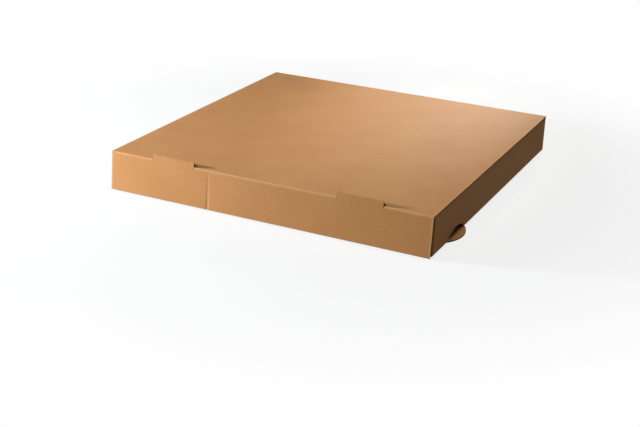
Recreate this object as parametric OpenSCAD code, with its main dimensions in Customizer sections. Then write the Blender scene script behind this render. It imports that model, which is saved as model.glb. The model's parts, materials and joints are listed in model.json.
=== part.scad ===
// Folding pizza box in plain brown corrugated board.
// Frame: the origin is the centre of the underside, +Z is up, the front flap faces -Y.

/* [Box] */
// Outside width across the side walls
box_w = 360; // [260:1:500]
// Outside depth from the front fold to the back wall
box_d = 360; // [200:1:500]
// Height from the underside to the top of the lid
box_h = 42; // [34:0.5:80]

/* [Board] */
// Thickness of the corrugated board
board_t = 1.5; // [1.2:0.1:2.5]
// Thickness of each of the board's two flat liners
liner_t = 0.25; // [0.15:0.05:0.4]
// Thickness of the wavy sheet between the liners
medium_t = 0.2; // [0.1:0.05:0.3]
// Pitch of the wavy sheet's flutes
flute_pitch = 3; // [2:0.1:6]
// Inside radius of a folded edge
fold_in_r = 0.5; // [0.2:0.1:1.5]
// Clearance at the two folds that open, and between the lid and the walls
fold_gap = 0.3; // [0.2:0.05:0.6]
// Width of the crushed board, without flutes, beside a fold, a crease or a cut along the flutes
crushed_w = 1.2; // [0.5:0.1:3]

/* [Front flap] */
// Angle by which the flap stands away from the front wall
flap_flare = 5.5; // [2:0.5:12]
// Clearance between the straight flap and the front wall behind it
flap_gap = 0.5; // [0.3:0.1:2]
// Height of the straight flap's lower edge above the underside
flap_lift = 0.8; // [0.5:0.1:4]
// Distance of the pressed crease from the flap's left end
crease_x = 117.5; // [20:0.5:220]
// Width of the pressed crease
crease_w = 3.6; // [2:0.1:6]
// Depth of the pressed crease
crease_depth = 0.35; // [0.1:0.05:0.6]

/* [Lock tabs] */
// Length of a tab along the front fold
tab_w = 49; // [20:0.5:70]
// Distance from the box's side to the nearer end of a tab
tab_inset = 51; // [10:0.5:55]
// Height of a tab above the top of the lid
tab_h = 5; // [3:0.25:10]
// Radius of a tab's upper corners
tab_corner_r = 0.8; // [0.2:0.1:2]
// Width of the cut between a tab and its slot
kerf = 0.5; // [0.3:0.05:1]

/* [Tray walls] */
// Drop from the underside of the lid to the top of the front wall
front_wall_drop = 5; // [1:0.25:10]
// Setback of the front and back walls' cut ends from the box's sides
wall_end_gap = 0.6; // [0.2:0.1:2]
// Length of a corner flap from the side of the box
corner_flap_len = 62; // [20:1:90]
// Drop from a wall's top to the corner flap behind it
corner_flap_drop = 2; // [0.5:0.25:6]
// Narrowing of a corner flap towards its free end, at each edge
corner_flap_taper = 4; // [0:0.5:8]

/* [Front wall locks] */
// Length of a lock foot under the inner front panel
lock_w = 36; // [15:1:60]
// Distance from the box's centre line to the middle of a lock foot
lock_x = 75; // [45:1:90]
// Clearance round a lock foot in its floor slot
lock_gap = 0.5; // [0.3:0.1:1]

/* [Vents] */
// Length of a half-moon vent along the side wall's bottom fold
vent_chord = 48; // [20:1:80]
// Height of a half-moon vent
vent_rise = 8.5; // [4:0.25:12]
// Distance from the front of the box to the nearer tip of a vent
vent_inset = 42; // [15:0.5:80]

/* [Hidden] */
$fn = 96;

kraft_lid = "#C08F5E";
kraft_tray = "#B98A59";
kraft_flap = "#C9996A";

// Overrun that lets a cut pass through a face, and lap that joins neighbouring panels of the sheet
over = board_t;
lap = board_t / 5;

half_w = box_w / 2;
back_y = box_d / 2;
fold_r = fold_in_r + board_t;

// Lines about which the lid and the front flap turn
hinge_y = back_y - board_t / 2;
flap_y = -box_d / 2 + board_t / 2;
fold_z = box_h - board_t / 2;
fold_clear_r = board_t / 2 + fold_gap;

// Planes of the tray
front_y = -box_d / 2 + board_t + flap_gap;
wall_top = box_h - board_t - fold_gap;
front_top = box_h - board_t - front_wall_drop;
wall_w = box_w - 2 * wall_end_gap;

// Rolled-over front wall: two panels with room for one board and a clearance between them
roll_in_r = (board_t + fold_gap) / 2;
roll_r = roll_in_r + board_t;
roll_z = front_top - roll_r;
roll_w = box_w - 2 * (fold_r + fold_gap);
inner_panel_y = front_y + roll_r + roll_in_r;
inner_panel_foot = board_t + fold_gap;

// Front flap: length below the fold, reach of a tab above it, radius of the pressed crease
flap_len = fold_z - flap_lift;
tab_reach = tab_h + board_t / 2;
crease_r = (pow(crease_w / 2, 2) + pow(crease_depth, 2)) / (2 * crease_depth);

// Vents: radius of the half-moon, and depth of its centre below the underside
vent_r = (pow(vent_chord / 2, 2) + pow(vent_rise, 2)) / (2 * vent_rise);
vent_y = -box_d / 2 + vent_inset + vent_chord / 2;
vent_drop = vent_r - vent_rise - board_t / 2;

// Flutes: the wavy sheet is a cosine between the liners, glued to them at its crests
core_half = board_t / 2 - liner_t;
wave_half = core_half - medium_t / 2;
wave_wall = 0.6 * medium_t;
glue_angle = acos((core_half - wave_wall) / wave_half);
flute_steps = 6;

// Sweeps a profile drawn in (Y, Z) along X, centred on the box
module along_x(length) {
    rotate([90, 0, 90])
        linear_extrude(height = length, center = true)
            children();
}

// Sweeps a profile drawn in (X, Z) along Y from one plane to another
module along_y(from, to) {
    translate([0, to, 0])
        rotate([90, 0, 0])
            linear_extrude(height = to - from)
                children();
}

// Repeats its child on the right and, mirrored, on the left
module both_sides() {
    children();
    mirror([1, 0, 0]) children();
}

// Section of a folded edge: a quarter ring round the origin, from turn to turn + 90 degrees,
// with a short lap into the panel at each end
module fold_section(turn) {
    rotate(turn) {
        intersection() {
            difference() {
                circle(r = fold_r);
                circle(r = fold_in_r);
            }
            square(fold_r);
        }
        translate([fold_in_r, -lap])
            square([board_t, lap]);
        translate([-lap, fold_in_r])
            square([lap, board_t]);
    }
}

// Section of the rolled top of the front wall: a half ring over the origin, lapped in the same way
module roll_section() {
    intersection() {
        difference() {
            circle(r = roll_r);
            circle(r = roll_in_r);
        }
        translate([-roll_r, 0])
            square([2 * roll_r, roll_r]);
    }
    for (x = [-roll_r, roll_in_r])
        translate([x, -lap])
            square([board_t, lap]);
}

// One hollow between a liner and the wavy sheet, from one crest to the next
module flute_hollow() {
    polygon([
        for (i = [0 : flute_steps])
            let (turn = glue_angle + (360 - 2 * glue_angle) * i / flute_steps)
            [flute_pitch * turn / 360, wave_half * cos(turn) + wave_wall]
    ]);
}

// Section of all the hollows in a panel that runs along the profile's first axis
module flutes(from, to) {
    count = floor((to - from) / flute_pitch - 0.5);
    start = (from + to - (count + 0.5) * flute_pitch) / 2;
    for (i = [0 : count - 1])
        translate([start + i * flute_pitch, 0]) {
            flute_hollow();
            translate([flute_pitch / 2, 0])
                mirror([0, 1]) flute_hollow();
        }
}

// Floor and both side walls between the corner folds
module floor_and_sides() {
    inner_w = box_w - 2 * fold_r;
    inner_front = front_y + fold_r;
    inner_back = back_y - fold_r;
    translate([-inner_w / 2, inner_front, 0])
        cube([inner_w, inner_back - inner_front, board_t]);
    along_y(front_y + board_t + fold_r, back_y - board_t - fold_r)
        both_sides() {
            translate([half_w - fold_r, fold_r])
                fold_section(-90);
            translate([half_w - board_t, fold_r])
                square([board_t, wall_top - fold_r]);
        }
}

// Back wall, folded up from the floor as far as the lid's fold
module back_wall() {
    along_x(wall_w) {
        translate([back_y - fold_r, fold_r])
            fold_section(-90);
        translate([back_y - board_t, fold_r])
            square([board_t, wall_top - fold_r]);
    }
}

// Front wall, folded up from the floor, rolled over and brought down inside
module front_wall() {
    along_x(wall_w) {
        translate([front_y + fold_r, fold_r])
            fold_section(180);
        translate([front_y, fold_r])
            square([board_t, roll_z - fold_r]);
    }
    along_x(roll_w) {
        translate([front_y + roll_r, roll_z])
            roll_section();
        translate([inner_panel_y, inner_panel_foot])
            square([board_t, roll_z - inner_panel_foot]);
    }
    both_sides()
        translate([lock_x - lock_w / 2, inner_panel_y, fold_gap])
            cube([lock_w, board_t, inner_panel_foot]);
}

// Floor slots that the inner front panel's lock feet stand in
module lock_slots() {
    both_sides()
        translate([lock_x - lock_w / 2 - lock_gap, inner_panel_y - lock_gap, -over])
            cube([lock_w + 2 * lock_gap, board_t + 2 * lock_gap, over + board_t + fold_gap / 2]);
}

// One corner: the side wall's vertical fold, the flap beyond it and the wall's end above it.
// Its origin is the outer corner: the side wall runs along +Y, the flap along -X.
module corner(top) {
    translate([-fold_r, fold_r, fold_r])
        linear_extrude(height = top - fold_r)
            fold_section(-90);
    translate([-board_t, fold_gap, top - lap])
        cube([board_t, fold_r - fold_gap + lap, wall_top - top + lap]);
    along_y(-lap, board_t)
        polygon([
            [-fold_r + lap, fold_r],
            [-fold_r + lap, top],
            [-fold_r - lap, top],
            [-corner_flap_len, top - corner_flap_taper],
            [-corner_flap_len, fold_r + corner_flap_taper],
            [-fold_r - lap, fold_r]
        ]);
}

// Corner flaps tucked behind the front and back walls
module corners() {
    both_sides() {
        translate([half_w, front_y + board_t, 0])
            corner(roll_z - corner_flap_drop);
        translate([half_w, back_y - board_t, 0])
            mirror([0, 1, 0])
                corner(wall_top - corner_flap_drop);
    }
}

// Half-moon holes in the side walls, open at the bottom fold
module vent_holes() {
    both_sides()
        translate([half_w - fold_r, vent_y, -vent_drop])
            rotate([0, 90, 0])
                cylinder(r = vent_r, h = fold_r + over);
}

// Half-moons left lying in the floor's plane where the side walls folded up
module vent_tongues() {
    both_sides()
        linear_extrude(height = board_t)
            intersection() {
                translate([half_w - board_t - vent_drop, vent_y])
                    circle(r = vent_r);
                translate([half_w - fold_r - lap, vent_y - vent_r])
                    square([fold_r + lap + vent_rise, 2 * vent_r]);
            }
}

// Cut in the lid that a lock tab was left standing out of
module tab_slot() {
    translate([half_w - tab_inset - tab_w - kerf, flap_y - board_t, box_h - board_t - over])
        cube([tab_w + 2 * kerf, board_t + tab_reach + kerf, board_t + 2 * over]);
}

// Outline of a lock tab in the plane of the flap, with its upper corners rounded
module tab_outline() {
    translate([half_w - tab_inset - tab_w, 0]) {
        square([tab_w, tab_reach - tab_corner_r]);
        translate([tab_corner_r, 0])
            square([tab_w - 2 * tab_corner_r, tab_reach]);
        for (x = [tab_corner_r, tab_w - tab_corner_r])
            translate([x, tab_reach - tab_corner_r])
                circle(r = tab_corner_r);
    }
}

// Tray: floor, side walls, back wall, rolled front wall and corner flaps in one sheet
module tray() {
    color(kraft_tray) {
        difference() {
            union() {
                floor_and_sides();
                back_wall();
                corners();
            }
            lock_slots();
            vent_holes();
        }
        front_wall();
        vent_tongues();
    }
}

// Lid: a fluted panel with a round fold at the back and two tab slots at the front
module lid() {
    color(kraft_lid)
        difference() {
            along_x(box_w) {
                difference() {
                    translate([flap_y, box_h - board_t])
                        square([hinge_y - flap_y, board_t]);
                    translate([flap_y, fold_z])
                        circle(r = fold_clear_r);
                    translate([flap_y - over, box_h - board_t - over])
                        square([fold_clear_r + over, board_t / 2 + over]);
                    translate([0, fold_z])
                        flutes(flap_y + fold_clear_r + crushed_w, hinge_y - crushed_w);
                }
                translate([hinge_y, fold_z])
                    circle(r = board_t / 2);
            }
            both_sides() tab_slot();
        }
}

// Section of the front flap below its round fold, hanging straight down from the origin
module flap_section() {
    circle(r = board_t / 2);
    translate([-board_t / 2, -flap_len])
        square([board_t, flap_len]);
}

// Hollows of the flap's flutes, closed where the crease crushes them
module flap_flutes() {
    difference() {
        along_x(box_w + 2 * over)
            rotate(-90)
                flutes(crushed_w, flap_len - crushed_w);
        translate([crease_x - half_w - crease_w / 2 - crushed_w, -board_t, -flap_len])
            cube([crease_w + 2 * crushed_w, 2 * board_t, flap_len]);
    }
}

// Front flap: hangs from the lid's front fold, with two lock tabs standing above it
module front_flap() {
    color(kraft_flap)
        translate([0, flap_y, fold_z])
            rotate([-flap_flare, 0, 0])
                difference() {
                    union() {
                        along_x(box_w) flap_section();
                        along_y(-board_t / 2, board_t / 2)
                            both_sides() tab_outline();
                    }
                    flap_flutes();
                    translate([crease_x - half_w, crease_depth - board_t / 2 - crease_r, -flap_len - over])
                        cylinder(r = crease_r, h = flap_len + over - board_t);
                }
}

tray();
lid();
front_flap();
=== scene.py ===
"""Folded pizza box in plain brown corrugated board, built ply by ply, with its studio stage."""

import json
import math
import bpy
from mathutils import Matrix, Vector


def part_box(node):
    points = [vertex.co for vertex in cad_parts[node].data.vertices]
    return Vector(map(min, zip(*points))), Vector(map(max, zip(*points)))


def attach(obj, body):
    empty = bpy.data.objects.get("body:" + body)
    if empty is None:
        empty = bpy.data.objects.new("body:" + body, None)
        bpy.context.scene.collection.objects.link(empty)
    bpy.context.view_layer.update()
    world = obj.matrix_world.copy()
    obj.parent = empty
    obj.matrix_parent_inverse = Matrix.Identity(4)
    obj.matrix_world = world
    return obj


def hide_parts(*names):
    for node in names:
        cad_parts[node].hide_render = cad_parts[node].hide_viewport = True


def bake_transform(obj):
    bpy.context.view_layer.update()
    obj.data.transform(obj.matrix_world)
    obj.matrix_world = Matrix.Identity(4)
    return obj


bl_info = {
    "name": "Corrugated Pizza Box",
    "version": (1, 0, 0),
    "blender": (4, 5, 0),
    "location": "3D View > Sidebar > Pizza Box",
    "description": "Folds a pizza box from corrugated board, ply by ply, with its stage",
    "category": "Add Mesh",
}

import bpy
import numpy as np
from bpy.props import FloatProperty, FloatVectorProperty, PointerProperty
from bpy.types import Operator, Panel, PropertyGroup
from mathutils import Matrix, Vector

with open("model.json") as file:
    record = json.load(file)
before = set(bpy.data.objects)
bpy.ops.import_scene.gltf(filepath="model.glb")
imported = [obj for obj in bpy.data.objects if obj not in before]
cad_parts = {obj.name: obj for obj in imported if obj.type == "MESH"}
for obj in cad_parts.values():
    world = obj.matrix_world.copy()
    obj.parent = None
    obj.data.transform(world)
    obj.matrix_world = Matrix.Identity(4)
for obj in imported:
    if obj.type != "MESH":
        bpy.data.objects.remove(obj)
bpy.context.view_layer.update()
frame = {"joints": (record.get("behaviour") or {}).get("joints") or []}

MM = 0.001

# Places that the solid model fixes: fold lines, outer faces and the height of the walls
JOINTS = {joint["name"]: joint for joint in frame["joints"]}
HINGE_Y, FOLD_Z = JOINTS["lid_fold"]["pos_m"][1:]
FLAP_Y = JOINTS["front_flap_fold"]["pos_m"][1]
LID_LOW, LID_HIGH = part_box("lid")
TRAY_LOW, TRAY_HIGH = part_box("tray")
FLAP_LOW, FLAP_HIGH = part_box("front_flap")
HALF_W = LID_HIGH.x
BOARD_T = LID_HIGH.z - LID_LOW.z
BACK_Y = TRAY_HIGH.y
FRONT_Y = TRAY_LOW.y
WALL_TOP = TRAY_HIGH.z
VENT_RISE = TRAY_HIGH.x - HALF_W + BOARD_T / 2
FLARE = math.atan2(FLAP_Y - FLAP_LOW.y - BOARD_T / 2, FOLD_Z - FLAP_LOW.z)
FLAP_LEN = (FOLD_Z - FLAP_LOW.z - BOARD_T / 2 * math.sin(FLARE)) / math.cos(FLARE)
TAB_REACH = (FLAP_HIGH.z - FOLD_Z - BOARD_T / 2 * math.sin(FLARE)) / math.cos(FLARE)


def linear(hex_colour):
    """An sRGB hex colour as linear red, green and blue."""
    srgb = np.array([int(hex_colour[i : i + 2], 16) for i in (1, 3, 5)]) / 255
    return tuple(np.where(srgb <= 0.04045, srgb / 12.92, ((srgb + 0.055) / 1.055) ** 2.4))


def length(name, description, millimetres):
    """A length that the user can change, given in millimetres and kept in metres."""
    return FloatProperty(
        name=name,
        description=description,
        default=millimetres * MM,
        min=0.0,
        precision=5,
        unit="LENGTH",
    )


def colour(name, description, hex_colour):
    """A colour that the user can change, given as an sRGB hex value."""
    return FloatVectorProperty(
        name=name,
        description=description,
        subtype="COLOR",
        default=linear(hex_colour),
        min=0.0,
        max=1.0,
    )


def angle(name, description, degrees):
    """An angle that the user can change, given in degrees."""
    return FloatProperty(
        name=name, description=description, default=math.radians(degrees), subtype="ANGLE"
    )


class BoardSettings(PropertyGroup):
    """Make-up of the corrugated board."""

    thickness: length("Thickness", "Board from liner to liner", BOARD_T / MM)
    liner: length("Liner", "Each flat outer sheet", 0.25)
    medium: length("Medium", "Wavy sheet between the liners", 0.2)
    pitch: length("Flute pitch", "Distance from one flute to the next", 3.0)
    ripple: length("Washboard", "Dip of a liner between two flutes", 0.03)
    fold_inside: length("Fold radius", "Inside radius of a folded edge", 0.5)
    crushed: length("Crushed width", "Reach of the crushed board beside a fold", 1.2)
    rubbed: length("Rubbed rim", "Reach of the wear along a cut end of the lid or the flap", 2.6)
    nibble: length("Nibbled cut", "Dip of the flap's cut ends between two flutes", 0.45)
    lead: length("Fold lead", "Reach of an opening fold into its two panels", 1.5)
    clearance: length("Clearance", "Gap between panels that only lie together", 0.3)


class TraySettings(PropertyGroup):
    """Walls, corner flaps, locks and vents of the tray."""

    front_drop: length("Front wall drop", "From the lid's underside to the front wall's top", 5.0)
    end_gap: length("End setback", "From the box's side to the end of a front or back wall", 0.6)
    flap_length: length("Corner flap", "Length of a corner flap from the box's side", 62.0)
    flap_drop: length("Corner flap drop", "From a wall's top to the corner flap behind it", 2.0)
    flap_taper: length("Corner flap taper", "Narrowing of a corner flap at each edge", 4.0)
    lock_width: length("Lock foot", "Length of a lock foot under the inner front panel", 36.0)
    lock_place: length("Lock place", "From the centre line to the middle of a lock foot", 75.0)
    lock_gap: length("Lock clearance", "Room round a lock foot in its floor slot", 0.5)
    vent_chord: length("Vent length", "Half-moon vent along the bottom fold", 48.0)
    vent_inset: length("Vent place", "From the front of the box to the nearer tip of a vent", 42.0)
    crimp: length("Crimp", "Depth of the crimps where a fold crosses the flutes", 0.12)


class FlapSettings(PropertyGroup):
    """Front flap, its lock tabs and its pressed crease."""

    tab_width: length("Tab", "Length of a tab along the front fold", 49.0)
    tab_inset: length("Tab place", "From the box's side to the nearer end of a tab", 51.0)
    kerf: length("Cut", "Width of the cut between a tab and its slot", 0.5)
    crease_place: length("Crease place", "From the flap's left end to the crease", 117.5)
    crease_width: length("Crease width", "Width of the pressed crease", 5.0)
    crease_top: length("Crease depth at the fold", "Depth of the crease at its upper end", 0.04)
    crease_foot: length("Crease depth at the edge", "Depth of the crease at its lower end", 0.3)


class PaperSettings(PropertyGroup):
    """Colours of the board's papers."""

    liner: colour("Kraft liner", "Flat brown outer sheets", "#C38A52")
    pale: colour("Pale fibre", "Lightest tone of the liner's mottle", "#CD955D")
    dark: colour("Dark fibre", "Darkest tone of the liner's mottle", "#B67F49")
    # Paler liner painted along folds, the crease and cut ends: rubbed fibres, and on folds also a
    # painted highlight
    scuff_and_fold_highlight: colour("Rubbed fold", "Liner where a fold has rubbed and stretched it", "#D6A570")
    fluting: colour("Fluting", "Wavy sheet between the liners", "#A2733F")
    cut: colour("Cut edge", "Fibres at a cut edge", "#C89559")


class StageSettings(PropertyGroup):
    """Camera, lights and floor."""

    azimuth: angle("Azimuth", "Camera turned to the right of the front", 25.83)
    elevation: angle("Elevation", "Camera above the horizon", 22.21)
    roll: angle("Roll", "Turn of the camera about its own axis", 1.7)
    distance: FloatProperty(
        name="Distance", description="Camera to the middle of the box", default=1.33, unit="LENGTH"
    )
    floor: colour("Floor", "Plain pale floor, as it is seen", "#F2F1EF")
    bounce: colour("Floor bounce", "Tone of the light that the floor throws back", "#8E8159")


# Surfaces


def straight(start, end, step):
    """Points on the line from start to end, about one step apart, with the tangent of the line."""
    start, end = np.array(start, float), np.array(end, float)
    span = np.linalg.norm(end - start)
    share = np.linspace(0, 1, max(2, int(round(span / step)) + 1))[:, None]
    points = start + (end - start) * share
    return points, np.broadcast_to((end - start) / span, points.shape), np.zeros(len(points), bool)


def bend(centre, radius, turn_from, turn_to, steps=8):
    """Points on an arc about centre, anticlockwise between two angles in degrees, and tangents."""
    turn = np.radians(np.linspace(turn_from, turn_to, steps + 1))
    ray = np.stack([np.cos(turn), np.sin(turn)], -1)
    tangent = np.stack([-np.sin(turn), np.cos(turn)], -1)
    return np.array(centre) + radius * ray, tangent, np.ones(len(turn), bool)


class Path:
    """A chain of lines and bends in a plane: the middle of the board, seen along its flutes.

    points and normals are (n, 2) arrays, along is the length from the start, and fold is the
    distance to the nearest bend, also to one that lies before the start or after the end.
    A normal is the tangent turned clockwise, towards the outer liner.
    """

    def __init__(self, *pieces, before=np.inf, after=np.inf):
        self.points = np.concatenate([piece[0] for piece in pieces])
        tangent = np.concatenate([piece[1] for piece in pieces])
        bent = np.concatenate([piece[2] for piece in pieces])
        self.normals = np.stack([tangent[:, 1], -tangent[:, 0]], -1)
        steps = np.linalg.norm(np.diff(self.points, axis=0), axis=1)
        self.along = np.concatenate([[0], np.cumsum(steps)])
        places = np.concatenate([self.along[bent], [-before, self.along[-1] + after]])
        self.fold = np.abs(self.along[:, None] - places[None, :]).min(1)


# Axes of the path's plane, and the axis along the board's flutes
ALONG_X = np.array([[0, 1, 0], [0, 0, 1], [1, 0, 0]], float)
ALONG_Z = np.array([[1, 0, 0], [0, 1, 0], [0, 0, 1]], float)
ALONG_Y = np.array([[1, 0, 0], [0, 0, 1], [0, -1, 0]], float)


def sheet(path, stations, height, axes):
    """A surface over a path: point + height * normal in the path's plane, with stations across.

    stations and height are (n, k) arrays, and the result is an (n, k, 3) array of places.
    """
    flat = path.points[:, None, :] + height[..., None] * path.normals[:, None, :]
    flat = np.broadcast_to(flat, stations.shape + (2,))
    return flat @ axes[:2] + stations[..., None] * axes[2]


def shell(keep):
    """Quads of a closed shell between an outer and an inner surface, over a grid's kept cells.

    Each kept cell has a quad on the outer and on the inner surface, and a rim quad stands on
    every side of it that no kept cell shares. The corners of the outer surface are numbered
    first, row by row, and then those of the inner one. The second array marks the rim quads.
    """
    rows, columns = np.array(keep.shape) + 1
    top = np.arange(rows * columns).reshape(rows, columns)
    low = top + rows * columns
    face = np.stack([top[:-1, :-1], top[1:, :-1], top[1:, 1:], top[:-1, 1:]], -1)[keep]
    back = np.stack([low[:-1, :-1], low[:-1, 1:], low[1:, 1:], low[1:, :-1]], -1)[keep]
    wide = np.pad(keep, 1)
    before, after = wide[:-1, 1:-1], wide[1:, 1:-1]
    row_rim = np.stack([top[:, :-1], top[:, 1:], low[:, 1:], low[:, :-1]], -1)
    left, right = wide[1:-1, :-1], wide[1:-1, 1:]
    column_rim = np.stack([top[1:], top[:-1], low[:-1], low[1:]], -1)
    rim = np.concatenate(
        [
            row_rim[after & ~before],
            row_rim[before & ~after][:, ::-1],
            column_rim[right & ~left],
            column_rim[left & ~right][:, ::-1],
        ]
    )
    quads = np.concatenate([face, back, rim])
    return quads, np.arange(len(quads)) >= len(face) + len(back)


class Build:
    """Collects shells into one mesh, with their paper, sheet coordinates and wear."""

    LINER, FLUTING, CUT = range(3)

    def __init__(self):
        self.places, self.quads, self.papers, self.uvs, self.wear_and_fold_highlight_values = [], [], [], [], []
        self.count = 0

    def add(self, outer, inner, keep, paper, sheet_uv, wear):
        """Adds one closed shell. sheet_uv is (n, k, 2) in metres, and wear (n, k), 0 for none."""
        quads, rim = shell(keep)
        used, renumbered = np.unique(quads, return_inverse=True)
        self.places.append(np.concatenate([outer.reshape(-1, 3), inner.reshape(-1, 3)])[used])
        self.quads.append(renumbered.reshape(quads.shape) + self.count)
        self.papers.append(np.where(rim, self.CUT, paper))
        self.uvs.append(np.tile(sheet_uv.reshape(-1, 2), (2, 1))[used])
        self.wear_and_fold_highlight_values.append(np.tile(wear.reshape(-1), 2)[used])
        self.count += len(used)

    def board(self, path, stations, axes, keep=None, pressed=0.0, wear=0.0, mirror=False):
        """Adds the three plies of a board over a path.

        The outer surface lies half the thickness above the path, less pressed and the ripple. The
        inner surface lies as far below, and rises beside a bend, where the board is crushed. The
        wavy sheet is a cosine of the length, as high as the room between them.
        """
        board = bpy.context.scene.box_board
        half = board.thickness / 2
        crushed = np.exp(-((path.fold / board.crushed) ** 2))[:, None]
        crushed = np.broadcast_to(crushed, stations.shape)
        flat_room = 2 * board.liner + board.medium
        wave = np.cos(2 * np.pi * path.along / board.pitch)[:, None] * (1 - crushed)
        ripple = board.ripple * (1 - crushed) / 2
        outer = half - pressed - ripple * (1 - wave)
        inner = crushed * (board.thickness - flat_room) + ripple * (1 + wave) - half
        middle = (outer + inner) / 2
        swing = np.maximum((outer - inner - flat_room) / 2, 0) * wave
        keep = np.ones(np.array(stations.shape) - 1, bool) if keep is None else keep
        along = np.broadcast_to(path.along[:, None], stations.shape)
        sheet_uv = np.stack([stations, along], -1)
        # Beside a bend the liner is painted paler: rubbed fibres, and a painted highlight on the
        # rounded fold
        wear = np.maximum(crushed, wear)
        plies = (
            (outer, outer - board.liner, self.LINER),
            (middle + swing + board.medium / 2, middle + swing - board.medium / 2, self.FLUTING),
            (inner + board.liner, inner, self.LINER),
        )
        for upper, lower, paper in plies:
            faces = [sheet(path, stations, level, axes) for level in (upper, lower)]
            self.add(faces[0], faces[1], keep, paper, sheet_uv, wear)
            if mirror:
                turned = [face[::-1] * (-1, 1, 1) for face in faces]
                self.add(turned[0], turned[1], keep[::-1], paper, sheet_uv[::-1], wear[::-1])

    def finish(self, name):
        """Makes the object, with its papers, sheet coordinates in millimetres and the wear."""
        mesh = bpy.data.meshes.new(name)
        places, quads = np.concatenate(self.places), np.concatenate(self.quads)
        mesh.from_pydata(places, [], quads)
        for material in papers():
            mesh.materials.append(material)
        mesh.polygons.foreach_set("material_index", np.concatenate(self.papers).astype(np.int32))
        mesh.polygons.foreach_set("use_smooth", np.ones(len(quads), bool))
        uv = np.concatenate(self.uvs)[quads.reshape(-1)] / MM
        mesh.uv_layers.new(name="sheet").data.foreach_set("uv", uv.reshape(-1).astype(np.float32))
        wear = mesh.attributes.new("wear", "FLOAT", "POINT")
        wear.data.foreach_set("value", np.concatenate(self.wear_and_fold_highlight_values).astype(np.float32))
        mesh.set_sharp_from_angle(angle=math.radians(40))
        mesh.update()
        piece = bpy.data.objects.new(name, mesh)
        bpy.context.scene.collection.objects.link(piece)
        return piece


def across(path, *places):
    """The same stations across every point of a path: single places, or one array per point."""
    return np.stack([np.broadcast_to(place, path.along.shape) for place in places], -1)


def cell_middles(values):
    """The mean of each grid cell's four corners."""
    return (values[:-1, :-1] + values[1:, :-1] + values[1:, 1:] + values[:-1, 1:]) / 4


def between(values, low, high):
    """True where a value lies strictly between two limits."""
    return (values > low) & (values < high)


# Materials


def add_node(tree, kind, settings=None, **links):
    """Adds a node, sets its properties and inputs, and links inputs to (node, output) pairs."""
    node = tree.nodes.new(kind)
    for key, value in (settings or {}).items():
        if isinstance(key, str) and hasattr(node, key):
            setattr(node, key, value)
        else:
            node.inputs[key].default_value = value
    for key, (source, output) in links.items():
        place = int(key[1:]) if key[0] == "i" and key[1:].isdigit() else key.replace("_", " ")
        tree.links.new(source.outputs[output], node.inputs[place])
    return node


def paper_material(name, base, pale, dark, scuff_and_fold_highlight, roughness):
    """Uncoated brown paper: a cloudy tone, short fibres along the web and rubbed folds.

    The eye gets a matt, slightly mottled brown with a broad dull sheen at low angles. The open
    pores make the sheen weaker than that of solid fibre, so the index of refraction is low.
    """
    material = bpy.data.materials.new(name)
    material.use_nodes = True
    tree = material.node_tree
    tree.nodes.clear()
    where = add_node(tree, "ShaderNodeUVMap", {"uv_map": "sheet"})
    # Clouds from uneven pulp in the web
    cloud_mm, cloud_share = 45, 0.35
    cloud = add_node(
        tree, "ShaderNodeTexNoise", {"Scale": 1 / cloud_mm, "Detail": 3.0}, Vector=(where, "UV")
    )
    # Fibre bundles, drawn this wide so that they show, and a little longer along the web
    fibre_mm, across_to_along = 2.2, 0.75
    web = add_node(
        tree, "ShaderNodeMapping", {"Scale": (1.0, across_to_along, 1.0)}, Vector=(where, "UV")
    )
    fibre = add_node(
        tree,
        "ShaderNodeTexNoise",
        {"Scale": 1 / fibre_mm, "Detail": 5.0, "Roughness": 0.65},
        Vector=(web, "Vector"),
    )
    # Sparse dark specks of bark
    speck_mm, bark = 0.8, [c * 0.45 for c in dark]
    speck = add_node(
        tree, "ShaderNodeTexNoise", {"Scale": 1 / speck_mm, "Detail": 1.0}, Vector=(where, "UV")
    )
    specks = add_node(
        tree,
        "ShaderNodeMapRange",
        {"From Min": 0.68, "From Max": 0.8, "To Min": 0.0, "To Max": 0.35},
        Value=(speck, "Fac"),
    )
    tone = add_node(
        tree,
        "ShaderNodeMix",
        {"data_type": "FLOAT", 0: cloud_share},
        i2=(fibre, "Fac"),
        i3=(cloud, "Fac"),
    )
    ramp = add_node(tree, "ShaderNodeValToRGB", Fac=(tone, 0))
    darkest, palest = ramp.color_ramp.elements
    darkest.position, palest.position = 0.28, 0.72
    darkest.color, palest.color = (*dark, 1), (*pale, 1)
    middle = ramp.color_ramp.elements.new(0.5)
    middle.color = (*base, 1)
    flecked = add_node(
        tree,
        "ShaderNodeMix",
        {"data_type": "RGBA", 7: (*bark, 1)},
        i0=(specks, "Result"),
        i6=(ramp, "Color"),
    )
    # Paler liner where the mesh's wear attribute asks for it: rubbed fibres, and on folds also a
    # painted highlight
    wear_and_highlight_node = add_node(tree, "ShaderNodeAttribute", {"attribute_name": "wear"})
    rubbed = add_node(
        tree,
        "ShaderNodeMath",
        {"operation": "MULTIPLY", "use_clamp": True},
        i0=(wear_and_highlight_node, "Fac"),
        i1=(fibre, "Fac"),
    )
    tinted = add_node(
        tree,
        "ShaderNodeMix",
        {"data_type": "RGBA", 7: (*scuff_and_fold_highlight, 1)},
        i0=(rubbed, "Value"),
        i6=(flecked, 2),
    )
    nap_depth = 0.03 * MM
    nap = add_node(
        tree,
        "ShaderNodeBump",
        {"Strength": 0.25, "Distance": nap_depth},
        Height=(fibre, "Fac"),
    )
    paper = add_node(
        tree,
        "ShaderNodeBsdfPrincipled",
        {"Roughness": roughness, "IOR": 1.33},
        Base_Color=(tinted, 2),
        Normal=(nap, "Normal"),
    )
    add_node(tree, "ShaderNodeOutputMaterial", Surface=(paper, "BSDF"))
    return material


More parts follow.
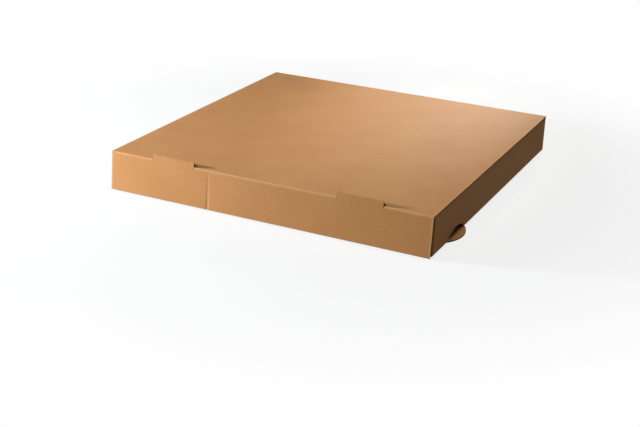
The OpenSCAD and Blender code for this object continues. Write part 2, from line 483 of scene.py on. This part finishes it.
def papers():
    """The board's three papers, made once: kraft liner, fluting and cut edge."""
    paper = bpy.context.scene.box_paper
    tones = (tuple(paper.pale), tuple(paper.dark), tuple(paper.scuff_and_fold_highlight))
    finishes = (
        ("kraft_liner", tuple(paper.liner), 0.7),
        ("fluting_paper", tuple(paper.fluting), 0.75),
        ("cut_board_edge", tuple(paper.cut), 0.8),
    )
    made = []
    for name, base, roughness in finishes:
        shift = [b / l for b, l in zip(base, paper.liner)]
        pale, dark, scuff_and_fold_highlight = ([c * s for c, s in zip(tone, shift)] for tone in tones)
        made.append(
            bpy.data.materials.get(name)
            or paper_material(name, base, pale, dark, scuff_and_fold_highlight, roughness)
        )
    return made


# Pieces of the box


def tray_levels():
    """Heights and setbacks that several tray pieces share.

    A vent is the part of a circle above its chord, which lies in the middle of the board: the
    radius is (half chord squared + rise squared) / twice the rise, and vent_drop is the depth of
    the centre below the board's face. A flute has six steps of the grid.
    """
    board, tray = bpy.context.scene.box_board, bpy.context.scene.box_tray
    fold_r = board.fold_inside + board.thickness
    roll_in = (board.thickness + board.clearance) / 2
    roll_r = roll_in + board.thickness
    roll_z = LID_LOW.z - tray.front_drop - roll_r
    half_chord = tray.vent_chord / 2
    vent_r = (half_chord**2 + VENT_RISE**2) / (2 * VENT_RISE)
    return {
        "fold_r": fold_r,
        "fold_mid": board.fold_inside + board.thickness / 2,
        "roll_in": roll_in,
        "roll_r": roll_r,
        "roll_z": roll_z,
        "front_corner_top": roll_z - tray.flap_drop,
        "back_corner_top": WALL_TOP - tray.flap_drop,
        "vent_r": vent_r,
        "vent_y": FLAP_Y - board.thickness / 2 + tray.vent_inset + half_chord,
        "vent_drop": vent_r - VENT_RISE - board.thickness / 2,
        "step": board.pitch / 6,
    }


class BOX_OT_floor_strip(Operator):
    """Floor, back wall and rolled-over front wall: one strip of board with its flutes along X"""

    bl_idname = "pizza_box.floor_strip"
    bl_label = "Floor, Front and Back Walls"

    def execute(self, context):
        board, tray, at = context.scene.box_board, context.scene.box_tray, tray_levels()
        t, r, mid, step = board.thickness, at["fold_r"], at["fold_mid"], at["step"]
        inner_y = FRONT_Y + at["roll_r"] + at["roll_in"]
        foot_z, tip_z = t + board.clearance, board.clearance
        slot_front, slot_back = inner_y - tray.lock_gap, inner_y + t + tray.lock_gap
        panel_y = inner_y + t / 2
        path = Path(
            straight((panel_y, tip_z), (panel_y, foot_z), step),
            straight((panel_y, foot_z), (panel_y, at["roll_z"]), step),
            bend((FRONT_Y + at["roll_r"], at["roll_z"]), at["roll_r"] - t / 2, 0, 180, 14),
            straight((FRONT_Y + t / 2, at["roll_z"]), (FRONT_Y + t / 2, r), step),
            bend((FRONT_Y + r, r), mid, 180, 270),
            straight((FRONT_Y + r, t / 2), (slot_front, t / 2), step),
            straight((slot_front, t / 2), (slot_back, t / 2), step),
            straight((slot_back, t / 2), (BACK_Y - r, t / 2), step),
            bend((BACK_Y - r, r), mid, 270, 360),
            straight((BACK_Y - t / 2, r), (BACK_Y - t / 2, FOLD_Z - board.lead), step),
            after=board.lead,
        )
        y, z = path.points.T
        wall_half, roll_half = HALF_W - tray.end_gap, HALF_W - r - board.clearance
        # The strip starts with the inner front panel, and its half width changes along it
        inner = path.along <= at["roll_z"]
        on_floor = (z < r) & between(y, FRONT_Y + r, BACK_Y - r) & ~inner
        edge = np.where(inner | (z > at["roll_z"]) & (y < 0), roll_half, wall_half)
        edge = np.where(on_floor, HALF_W - r, edge)
        # Beside a vent the floor runs out to the vent's circle, as a half-moon tongue
        tongue = np.abs(y - at["vent_y"])
        bulge = np.sqrt(np.maximum(at["vent_r"] ** 2 - tongue**2, 0)) - at["vent_drop"]
        edge = np.where(on_floor & (tongue < tray.vent_chord / 2), HALF_W - t + bulge, edge)
        foot, slot = tray.lock_width / 2, tray.lock_width / 2 + tray.lock_gap
        sides = [tray.lock_place + x for x in (-slot, -foot, foot, slot)]
        stations = across(path, -edge, *[-x for x in sides[::-1]], *sides, edge)
        x_mid = np.abs(cell_middles(stations))
        y_mid = cell_middles(across(path, *[y] * stations.shape[1]))
        z_mid = cell_middles(across(path, *[z] * stations.shape[1]))
        # Lock feet stand below the inner panel, in slots cut through the floor
        in_panel = cell_middles(across(path, *[path.along] * stations.shape[1])) < at["roll_z"]
        below = in_panel & (z_mid < foot_z)
        in_slot = ~in_panel & (z_mid < t) & between(y_mid, slot_front, slot_back)
        keep = ~(below & ~between(x_mid, sides[1], sides[2]))
        keep &= ~(in_slot & between(x_mid, sides[0], sides[3]))
        build = Build()
        build.board(path, stations, ALONG_X, keep)
        piece = build.finish("floor_strip")
        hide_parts("tray")
        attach(piece, "tray")
        return {"FINISHED"}


class BOX_OT_side_walls(Operator):
    """Both side walls, with their half-moon vents: board with its flutes upright"""

    bl_idname = "pizza_box.side_walls"
    bl_label = "Side Walls"

    def execute(self, context):
        board, at = context.scene.box_board, tray_levels()
        t, r = board.thickness, at["fold_r"]
        ends = (FRONT_Y + t + board.clearance, BACK_Y - t - board.clearance)
        corners = (FRONT_Y + t + r, BACK_Y - t - r)
        wall_x = HALF_W - t / 2
        path = Path(
            straight((wall_x, ends[0]), (wall_x, corners[0]), at["step"]),
            straight((wall_x, corners[0]), (wall_x, corners[1]), at["step"]),
            straight((wall_x, corners[1]), (wall_x, ends[1]), at["step"]),
        )
        # The wall stands on its fold, over the vent's arch and, at its ends, over the corner flaps
        y = path.points[:, 1]
        from_vent = y - at["vent_y"]
        arch = np.sqrt(np.maximum(at["vent_r"] ** 2 - from_vent**2, 0)) - at["vent_drop"]
        foot = np.maximum(arch, r)
        foot = np.where(y < corners[0], at["front_corner_top"], foot)
        foot = np.where(y > corners[1], at["back_corner_top"], foot)
        rise = WALL_TOP - foot
        stations = across(path, *[foot + rise * share for share in (0, 0.1, 0.5, 0.9, 1)])
        build = Build()
        build.board(path, stations, ALONG_Z, mirror=True)
        piece = build.finish("side_walls")
        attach(piece, "tray")
        return {"FINISHED"}


class BOX_OT_side_folds(Operator):
    """Bottom folds of the side walls, which cross the flutes and are crimped by them"""

    bl_idname = "pizza_box.side_folds"
    bl_label = "Side Folds"

    def execute(self, context):
        board, tray, at = context.scene.box_board, context.scene.box_tray, tray_levels()
        t, r = board.thickness, at["fold_r"]
        path = Path(bend((HALF_W - r, r), at["fold_mid"], 270, 360, 6))
        half_chord = tray.vent_chord / 2
        spans = (
            (FRONT_Y + t + r, at["vent_y"] - half_chord),
            (at["vent_y"] + half_chord, BACK_Y - t - r),
        )
        build = Build()
        for start, end in spans:
            count = int((end - start) / at["step"])
            y = np.linspace(end, start, count)
            stations = np.broadcast_to(-y, (len(path.along), count))
            # Crimps dip as a raised cosine at the flute pitch, most at the middle of the bend
            round_share = np.sin(np.pi * path.along / path.along[-1])[:, None]
            dip = tray.crimp * round_share * (1 - np.cos(2 * np.pi * y / board.pitch)) / 2
            outer = sheet(path, stations, t / 2 - dip, ALONG_Y)
            inner = sheet(path, stations, t / 2 - dip - 2 * board.liner - board.medium, ALONG_Y)
            along = np.broadcast_to(path.along[:, None], stations.shape)
            sheet_uv = np.stack([along, stations], -1)
            # The fold is painted paler, most at the middle of the bend: rubbed fibres and a
            # painted highlight
            wear = np.broadcast_to(round_share, stations.shape)
            keep = np.ones(np.array(stations.shape) - 1, bool)
            for faces in ((outer, inner), [face[::-1] * (-1, 1, 1) for face in (outer, inner)]):
                build.add(faces[0], faces[1], keep, Build.LINER, sheet_uv, wear)
        piece = build.finish("side_folds")
        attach(piece, "tray")
        return {"FINISHED"}


class BOX_OT_corner_flaps(Operator):
    """Four corner flaps, folded in from the side walls behind the front and back walls"""

    bl_idname = "pizza_box.corner_flaps"
    bl_label = "Corner Flaps"

    def execute(self, context):
        board, tray, at = context.scene.box_board, context.scene.box_tray, tray_levels()
        t, r, mid = board.thickness, at["fold_r"], at["fold_mid"]
        fold_x, end_x = HALF_W - r, HALF_W - tray.flap_length
        front, back = FRONT_Y + t, BACK_Y - t
        front_path = Path(
            straight((end_x, front + t / 2), (fold_x, front + t / 2), at["step"]),
            bend((fold_x, front + r), mid, 270, 360),
        )
        back_path = Path(
            bend((fold_x, back - r), mid, 0, 90),
            straight((fold_x, back - t / 2), (end_x, back - t / 2), at["step"]),
        )
        build = Build()
        tops = (at["front_corner_top"], at["back_corner_top"])
        for path, top in zip((front_path, back_path), tops):
            # Both long edges draw in evenly from the fold to the tip
            inward = np.maximum(fold_x - path.points[:, 0], 0) / (fold_x - end_x)
            trim = tray.flap_taper * inward
            low, high = r + trim, top - trim
            stations = across(path, *[low + (high - low) * share for share in (0, 0.1, 0.9, 1)])
            build.board(path, stations, ALONG_Z, mirror=True)
        piece = build.finish("corner_flaps")
        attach(piece, "tray")
        return {"FINISHED"}


def tab_limits():
    """Inner and outer ends of the right tab along X."""
    flap = bpy.context.scene.box_flap
    outer = HALF_W - flap.tab_inset
    return outer - flap.tab_width, outer


def end_wear(stations, at_end):
    """Wear along the two cut ends: it falls evenly from the end to the reach of the rubbed rim."""
    rubbed = bpy.context.scene.box_board.rubbed
    return at_end * np.clip((np.abs(stations) - HALF_W) / rubbed + 1, 0, 1)


class BOX_OT_lid(Operator):
    """Lid panel with its flutes along X and two slots at its front edge"""

    bl_idname = "pizza_box.lid"
    bl_label = "Lid"

    def execute(self, context):
        board, flap, at = context.scene.box_board, context.scene.box_flap, tray_levels()
        inner, outer = tab_limits()
        slot_from, slot_to = inner - flap.kerf, outer + flap.kerf
        slot_y = FLAP_Y + TAB_REACH + flap.kerf
        path = Path(
            straight((HINGE_Y - board.lead, FOLD_Z), (slot_y, FOLD_Z), at["step"]),
            straight((slot_y, FOLD_Z), (FLAP_Y + board.lead, FOLD_Z), at["step"]),
            before=board.lead,
            after=board.lead,
        )
        x = np.array([slot_from, slot_to, HALF_W - board.rubbed, HALF_W])
        x = np.concatenate([-x[::-1], [-inner / 2, 0, inner / 2], x])
        stations = across(path, *x)
        y_mid = cell_middles(across(path, *[path.points[:, 0]] * len(x)))
        in_slot = (y_mid < slot_y) & between(np.abs(cell_middles(stations)), slot_from, slot_to)
        build = Build()
        build.board(path, stations, ALONG_X, ~in_slot, wear=end_wear(stations, at_end=0.7))
        piece = build.finish("lid_panel")
        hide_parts("lid")
        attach(piece, "lid")
        return {"FINISHED"}


class BOX_OT_front_flap(Operator):
    """Front flap hanging from the lid, with two tabs above its fold and one pressed crease"""

    bl_idname = "pizza_box.front_flap"
    bl_label = "Front Flap"

    def execute(self, context):
        board, flap, at = context.scene.box_board, context.scene.box_flap, tray_levels()
        inner, outer = tab_limits()
        fold = np.array([FLAP_Y, FOLD_Z])
        down = np.array([-math.sin(FLARE), -math.cos(FLARE)])
        path = Path(
            straight(fold - down * TAB_REACH, fold + down * board.lead, at["step"]),
            straight(fold + down * board.lead, fold + down * FLAP_LEN, at["step"]),
        )
        crease = flap.crease_place - HALF_W
        groove = crease + np.linspace(-1, 1, 17) * flap.crease_width / 2
        x = np.array([inner, outer, HALF_W - board.rubbed, HALF_W])
        x = np.sort(np.concatenate([-x, [-inner / 2, 0, inner / 2], x, groove]))
        stations = across(path, *x)
        # The cut ends dip between the flutes, as a raised cosine at the flute pitch
        below = (path.points - fold) @ down
        nibble = board.nibble * (1 - np.cos(2 * np.pi * (below - board.lead) / board.pitch)) / 2
        stations[:, 0] += nibble
        stations[:, -1] -= nibble
        above_fold = cell_middles(across(path, *[below] * len(x))) < board.lead
        in_tab = between(np.abs(cell_middles(stations)), inner, outer)
        # The crease is a raised cosine across its width, and deepens evenly towards its foot
        share = np.clip(below / FLAP_LEN, 0, 1)[:, None]
        depth = flap.crease_top + (flap.crease_foot - flap.crease_top) * share
        across_groove = np.clip((stations - crease) / (flap.crease_width / 2), -1, 1)
        hollow = (1 + np.cos(np.pi * across_groove)) / 2 * (below[:, None] > board.lead)
        keep = ~above_fold | in_tab
        crease_wear = hollow / 3
        wear = np.maximum(crease_wear, end_wear(stations, at_end=2.2))
        build = Build()
        build.board(path, stations, ALONG_X, keep, pressed=depth * hollow, wear=wear)
        piece = build.finish("front_flap_panel")
        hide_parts("front_flap")
        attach(piece, "front_flap")
        return {"FINISHED"}


class BOX_OT_opening_folds(Operator):
    """The two folds that open: back wall to lid, and lid to front flap"""

    bl_idname = "pizza_box.opening_folds"
    bl_label = "Opening Folds"

    def execute(self, context):
        board, tray, flap = context.scene.box_board, context.scene.box_tray, context.scene.box_flap
        at = tray_levels()
        lead, fine = board.lead, at["step"] / 2
        inner, outer = tab_limits()
        # Each fold is a bend of no radius in the middle of the board, and blends across that line
        back_path = Path(
            straight((HINGE_Y, FOLD_Z - lead), (HINGE_Y, FOLD_Z), fine),
            bend((HINGE_Y, FOLD_Z), 0, 0, 90),
            straight((HINGE_Y, FOLD_Z), (HINGE_Y - lead, FOLD_Z), fine),
        )
        widening = np.clip((back_path.points[:, 1] - FOLD_Z + lead) / lead, 0, 1)
        edge = HALF_W - tray.end_gap * (1 - widening)
        build = Build()
        build.board(back_path, across(back_path, -edge, 0 * edge, edge), ALONG_X)
        piece = build.finish("back_fold")
        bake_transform(piece)
        down = np.array([-math.sin(FLARE), -math.cos(FLARE)])
        fold = np.array([FLAP_Y, FOLD_Z])
        front_path = Path(
            straight(fold + (lead, 0), fold, fine),
            bend(fold, 0, 90, 180 - math.degrees(FLARE)),
            straight(fold, fold + down * lead, fine),
        )
        x = np.array([inner - flap.kerf, outer + flap.kerf, HALF_W])
        stations = across(front_path, *-x[::-1], 0.0, *x)
        keep = ~between(np.abs(cell_middles(stations)), x[0], x[1])
        build = Build()
        build.board(front_path, stations, ALONG_X, keep)
        piece = build.finish("front_fold")
        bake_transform(piece)
        return {"FINISHED"}


# Stage


def sees_white(tree):
    """1 for rays of the camera, of gloss and of glass, which see plain white, and 0 for others."""
    ray = add_node(tree, "ShaderNodeLightPath")
    shiny = add_node(
        tree,
        "ShaderNodeMath",
        {"operation": "MAXIMUM"},
        i0=(ray, "Is Glossy Ray"),
        i1=(ray, "Is Transmission Ray"),
    )
    return add_node(
        tree,
        "ShaderNodeMath",
        {"operation": "MAXIMUM"},
        i0=(ray, "Is Camera Ray"),
        i1=(shiny, "Value"),
    )


def floor_material(tone, bounce):
    """Matt studio paper: it keeps a faint shadow near the box and runs out to plain white.

    Rays that carry light meet the darker bounce tone, as from a floor that lies in half light.
    """
    shadow_reach, white_from, least_white = 0.25, 0.55, 0.8
    material = bpy.data.materials.new("studio_paper")
    material.use_nodes = True
    tree = material.node_tree
    tree.nodes.clear()
    seen = sees_white(tree)
    where = add_node(tree, "ShaderNodeTexCoord")
    far = add_node(tree, "ShaderNodeVectorMath", {"operation": "LENGTH"}, i0=(where, "Object"))
    white = add_node(
        tree,
        "ShaderNodeMapRange",
        {
            "interpolation_type": "SMOOTHSTEP",
            "From Min": shadow_reach,
            "From Max": white_from,
            "To Min": least_white,
            "To Max": 1.0,
        },
        Value=(far, "Value"),
    )
    seen_white = add_node(
        tree,
        "ShaderNodeMath",
        {"operation": "MULTIPLY"},
        i0=(white, "Result"),
        i1=(seen, "Value"),
    )
    shown = add_node(
        tree,
        "ShaderNodeMix",
        {"data_type": "RGBA", 6: (*bounce, 1), 7: (*tone, 1)},
        i0=(seen, "Value"),
    )
    matt = add_node(tree, "ShaderNodeBsdfDiffuse", None, Color=(shown, 2))
    glow = add_node(tree, "ShaderNodeEmission", {"Color": (1, 1, 1, 1), "Strength": 1.0})
    mixed = add_node(
        tree,
        "ShaderNodeMixShader",
        None,
        i0=(seen_white, "Value"),
        i1=(matt, "BSDF"),
        i2=(glow, "Emission"),
    )
    add_node(tree, "ShaderNodeOutputMaterial", Surface=(mixed, "Shader"))
    return material


def add_floor(stage):
    """A wide square floor, a little below the box."""
    reach, drop = 6.0, 0.2 * MM
    corners = [(x * reach, y * reach, -drop) for x, y in ((-1, -1), (1, -1), (1, 1), (-1, 1))]
    mesh = bpy.data.meshes.new("studio_floor")
    mesh.from_pydata(corners, [], [(0, 1, 2, 3)])
    mesh.materials.append(floor_material(tuple(stage.floor), tuple(stage.bounce)))
    floor = bpy.data.objects.new("studio_floor", mesh)
    bpy.context.scene.collection.objects.link(floor)


def add_camera(stage):
    """A camera that looks back along its azimuth and elevation, moved sideways and then rolled."""
    turn, rise, roll = stage.azimuth, stage.elevation, stage.roll
    level = Vector((math.sin(turn), -math.cos(turn), 0))
    back = level * math.cos(rise) + Vector((0, 0, math.sin(rise)))
    right = Vector((math.cos(turn), math.sin(turn), 0))
    up = back.cross(right)
    aim_right, aim_up = -21.6 * MM, -70.2 * MM
    middle = Vector((0, 0, 20 * MM))
    lens = bpy.data.cameras.new("photo_camera")
    photo_width, focal_px = 640, 1193
    lens.sensor_width = 36
    lens.lens = focal_px / photo_width * lens.sensor_width
    camera = bpy.data.objects.new("photo_camera", lens)
    rolled_right = right * math.cos(roll) + up * math.sin(roll)
    rolled_up = up * math.cos(roll) - right * math.sin(roll)
    place = middle + back * stage.distance + right * aim_right + up * aim_up
    turned = Matrix((rolled_right, rolled_up, back)).transposed().to_4x4()
    camera.matrix_world = Matrix.Translation(place) @ turned
    bpy.context.scene.collection.objects.link(camera)
    bpy.context.scene.camera = camera


def add_light(name, kind, watts, place, aim, **settings):
    """A light at a place, turned towards a point and hidden from the camera."""
    lamp = bpy.data.lights.new(name, kind)
    lamp.energy = watts
    for key, value in settings.items():
        setattr(lamp, key, value)
    light = bpy.data.objects.new(name, lamp)
    light.location = place
    light.visible_camera = False
    light.rotation_euler = (Vector(aim) - Vector(place)).to_track_quat("-Z", "Y").to_euler()
    bpy.context.scene.collection.objects.link(light)


def add_lights():
    """A soft light above, one low at the left, a narrow one from behind and a low fill there."""
    add_light(
        "top_softbox",
        "AREA",
        watts=4.3,
        place=(0.2, 0, 1.2),
        aim=(0.2, 0, 0),
        size=0.3,
    )
    add_light(
        "front_softbox",
        "AREA",
        watts=27,
        place=(-0.98, -0.52, 0.25),
        aim=(0, -0.18, 0.03),
        color=(0.87, 0.92, 1.0),
        size=0.1,
    )
    add_light(
        "back_snoot",
        "SPOT",
        watts=91,
        place=(-0.08, 1.5, 0.65),
        aim=(0.03, 0.25, 0.04),
        color=(1.0, 0.98, 0.94),
        spot_size=math.radians(15),
        spot_blend=1.0,
        shadow_soft_size=0.04,
    )
    add_light(
        "back_fill",
        "AREA",
        watts=2.0,
        place=(-0.15, 0.9, 0.02),
        aim=(-0.15, 0.18, 0.02),
        shape="RECTANGLE",
        size=0.4,
        size_y=0.03,
    )


def add_world():
    """Plain white where it is seen, and only a dim ambient light for everything else."""
    ambient = 0.04
    world = bpy.data.worlds.new("studio")
    world.use_nodes = True
    tree = world.node_tree
    tree.nodes.clear()
    seen = sees_white(tree)
    dim = add_node(tree, "ShaderNodeBackground", {"Color": (1, 1, 1, 1), "Strength": ambient})
    white = add_node(tree, "ShaderNodeBackground", {"Color": (1, 1, 1, 1), "Strength": 1.0})
    mixed = add_node(
        tree,
        "ShaderNodeMixShader",
        None,
        i0=(seen, "Value"),
        i1=(dim, "Background"),
        i2=(white, "Background"),
    )
    add_node(tree, "ShaderNodeOutputWorld", Surface=(mixed, "Shader"))
    bpy.context.scene.world = world


class BOX_OT_stage(Operator):
    """Camera, soft lights and a plain pale floor"""

    bl_idname = "pizza_box.stage"
    bl_label = "Stage"

    def execute(self, context):
        stage = context.scene.box_stage
        add_floor(stage)
        add_camera(stage)
        add_lights()
        add_world()
        context.scene.view_settings.view_transform = "Standard"
        return {"FINISHED"}


SETTINGS = {
    "box_board": BoardSettings,
    "box_tray": TraySettings,
    "box_flap": FlapSettings,
    "box_paper": PaperSettings,
    "box_stage": StageSettings,
}
OPERATORS = (
    BOX_OT_floor_strip,
    BOX_OT_side_walls,
    BOX_OT_side_folds,
    BOX_OT_corner_flaps,
    BOX_OT_lid,
    BOX_OT_front_flap,
    BOX_OT_opening_folds,
    BOX_OT_stage,
)


class BOX_PT_sidebar(Panel):
    """Lists the box's pieces and its settings"""

    bl_idname = "BOX_PT_sidebar"
    bl_label = "Pizza Box"
    bl_space_type = "VIEW_3D"
    bl_region_type = "UI"
    bl_category = "Pizza Box"

    def draw(self, context):
        for operator in OPERATORS:
            self.layout.operator(operator.bl_idname)
        for name, group in SETTINGS.items():
            column = self.layout.column(heading=group.__doc__)
            for field in group.__annotations__:
                column.prop(getattr(context.scene, name), field)


def register():
    """Registers the settings, the operators and the panel."""
    for name, group in SETTINGS.items():
        bpy.utils.register_class(group)
        setattr(bpy.types.Scene, name, PointerProperty(type=group))
    for kind in (*OPERATORS, BOX_PT_sidebar):
        bpy.utils.register_class(kind)


def unregister():
    """Takes back what register added."""
    for kind in (BOX_PT_sidebar, *reversed(OPERATORS)):
        bpy.utils.unregister_class(kind)
    for name, group in reversed(SETTINGS.items()):
        delattr(bpy.types.Scene, name)
        bpy.utils.unregister_class(group)


def main():
    """Builds every piece and the stage, and writes the solid and the visual model's boxes."""
    register()
    for operator in OPERATORS:
        group, name = operator.bl_idname.split(".")
        getattr(getattr(bpy.ops, group), name)()


if __name__ == "__main__":
    main()
